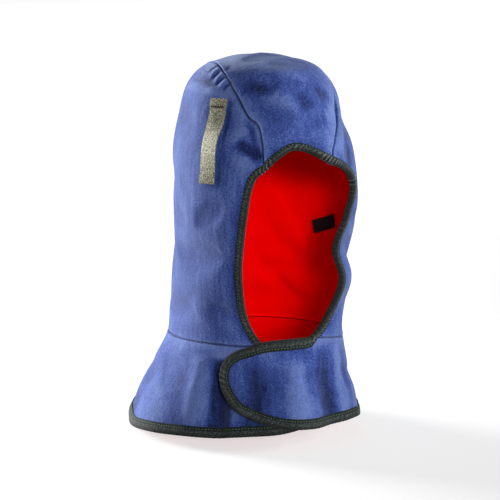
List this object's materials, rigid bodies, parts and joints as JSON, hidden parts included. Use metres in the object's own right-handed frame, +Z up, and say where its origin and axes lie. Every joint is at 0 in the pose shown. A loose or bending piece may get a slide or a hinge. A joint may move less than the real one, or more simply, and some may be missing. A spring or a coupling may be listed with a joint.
{
  "type": "hard hat winter liner",
  "caption": "Cloth hood with a fleece lining, bound face opening, side straps and a flared lap-over bib, worn under a hard hat to keep head, ears and neck warm.",
  "frame": {"origin": "where the crown of the head touches the inside of the hood", "axes": "+Z up, the wearer faces -Y, the wearer's right hand is at -X"},
  "size_m": [0.2426, 0.2816, 0.399],
  "materials": {
    "shell_twill": "navy cotton twill, washed, matt",
    "lining_fleece": "red brushed fleece, matt",
    "binding_tape": "dark grey-green folded tape, stitched",
    "webbing": "olive heather webbing",
    "hook_tape": "black hook-and-loop tape"
  },
  "bodies": {
    "root": {"crown_panel": "shell_twill", "side_panel_right": "shell_twill", "side_panel_left": "shell_twill", "bib_panel": "shell_twill", "lining_crown": "lining_fleece", "lining_side_right": "lining_fleece", "lining_side_left": "lining_fleece", "bib_lining": "lining_fleece", "edge_binding": "binding_tape", "strap_right": "webbing", "strap_left": "webbing", "mouthpiece_patch": "hook_tape", "closure_tape": "hook_tape"}
  },
  "joints": []
}
